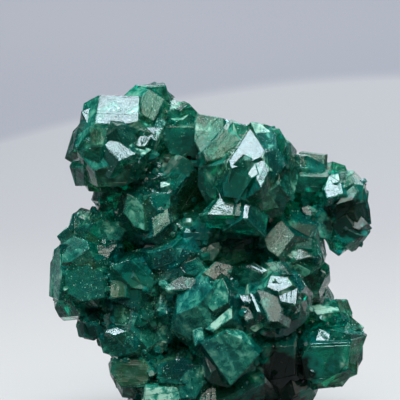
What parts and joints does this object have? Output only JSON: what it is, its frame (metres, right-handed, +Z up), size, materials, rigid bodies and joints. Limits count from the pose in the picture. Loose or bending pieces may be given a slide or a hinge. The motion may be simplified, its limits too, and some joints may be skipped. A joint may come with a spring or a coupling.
{
  "type": "dioptase specimen",
  "caption": "Cluster of emerald green dioptase crystals: rounded heads of short prisms with flat rhomb-shaped end faces, grown together and broken off flat at the base.",
  "frame": {"origin": "middle of the specimen's box in plan, on the flat break it stands on", "axes": "+Z up, +X to the viewer's right, -Y towards the viewer of the pictured front"},
  "size_m": [0.0484, 0.0328, 0.0532],
  "materials": {
    "dioptase": "vitreous natural crystal faces, deep emerald green"
  },
  "bodies": {
    "root": {"dioptase_cluster": "dioptase"}
  },
  "joints": []
}
